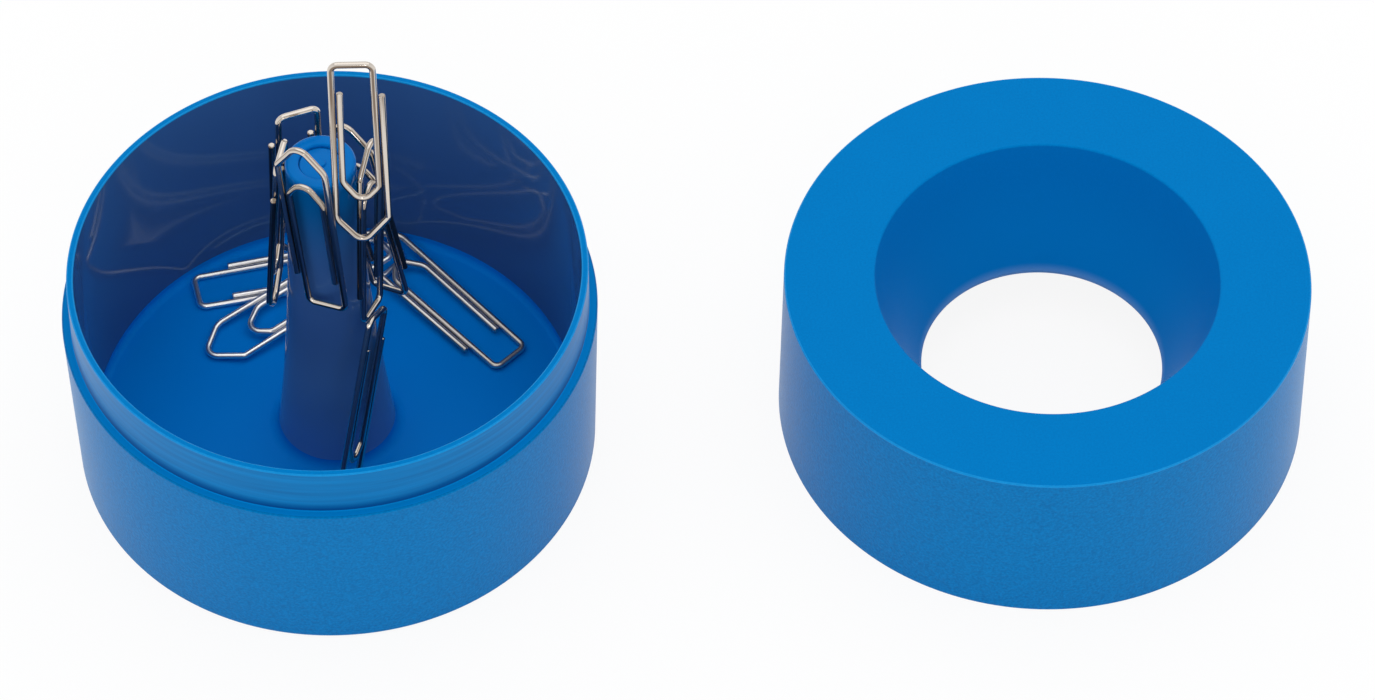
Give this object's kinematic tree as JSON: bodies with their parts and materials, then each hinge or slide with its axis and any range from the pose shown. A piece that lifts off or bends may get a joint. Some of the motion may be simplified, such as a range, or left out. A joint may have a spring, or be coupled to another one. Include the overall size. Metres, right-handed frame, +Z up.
{
  "type": "magnetic paper clip holder",
  "caption": "Round plastic cup with a flared magnet post that holds wire paper clips, and a loose lid with a funnel-shaped opening standing beside it.",
  "frame": {"origin": "centre of the cup's flat foot, on the table", "axes": "+Z up along the cup's axis, +X from the cup towards the lid, as in the picture"},
  "size_m": [0.171, 0.0782, 0.0796],
  "materials": {
    "blue_plastic": "fine matte texture outside, glossy bowl and post",
    "clip_steel": "bright nickel",
    "magnet_metal": "plain"
  },
  "bodies": {
    "cup": {"base_cup": "blue_plastic", "post_magnet": "magnet_metal", "post_cap": "blue_plastic"},
    "lid": {"lid": "blue_plastic"},
    "clip_01": {"paper_clip_01": "clip_steel"},
    "clip_02": {"paper_clip_02": "clip_steel"},
    "clip_03": {"paper_clip_03": "clip_steel"},
    "clip_04": {"paper_clip_04": "clip_steel"},
    "clip_05": {"paper_clip_05": "clip_steel"},
    "clip_06": {"paper_clip_06": "clip_steel"},
    "clip_07": {"paper_clip_07": "clip_steel"},
    "clip_08": {"paper_clip_08": "clip_steel"},
    "clip_09": {"paper_clip_09": "clip_steel"},
    "clip_10": {"paper_clip_10": "clip_steel"}
  },
  "joints": [
    {"name": "lid_lift", "type": "slide", "parent": "cup", "child": "lid", "axis": [0, 0, 1], "range_m": [0, 0.08]},
    {"name": "clip_01_pull", "type": "slide", "parent": "cup", "child": "clip_01", "axis": [0, 0, 1], "range_m": [0, 0.04]},
    {"name": "clip_02_pull", "type": "slide", "parent": "cup", "child": "clip_02", "axis": [-0.0995, 0.597, 0.796], "range_m": [0, 0.03]},
    {"name": "clip_03_pull", "type": "slide", "parent": "cup", "child": "clip_03", "axis": [-0.6, 0, 0.8], "range_m": [0, 0.03]},
    {"name": "clip_04_pull", "type": "slide", "parent": "cup", "child": "clip_04", "axis": [-0.303, -0.5051, 0.8081], "range_m": [0, 0.03]},
    {"name": "clip_05_pull", "type": "slide", "parent": "cup", "child": "clip_05", "axis": [0.5993, 0.0499, 0.799], "range_m": [0, 0.03]},
    {"name": "clip_06_pull", "type": "slide", "parent": "cup", "child": "clip_06", "axis": [0.4494, 0.3995, 0.799], "range_m": [0, 0.03]},
    {"name": "clip_07_pull", "type": "slide", "parent": "cup", "child": "clip_07", "axis": [0.5007, -0.751, 0.4306], "range_m": [0, 0.015]},
    {"name": "clip_08_lift", "type": "slide", "parent": "cup", "child": "clip_08", "axis": [0, 0, 1], "range_m": [0, 0.1]},
    {"name": "clip_10_lift", "type": "slide", "parent": "clip_08", "child": "clip_10", "axis": [0, 0, 1], "range_m": [0, 0.1]},
    {"name": "clip_09_lift", "type": "slide", "parent": "clip_10", "child": "clip_09", "axis": [0, 0, 1], "range_m": [0, 0.1]}
  ]
}
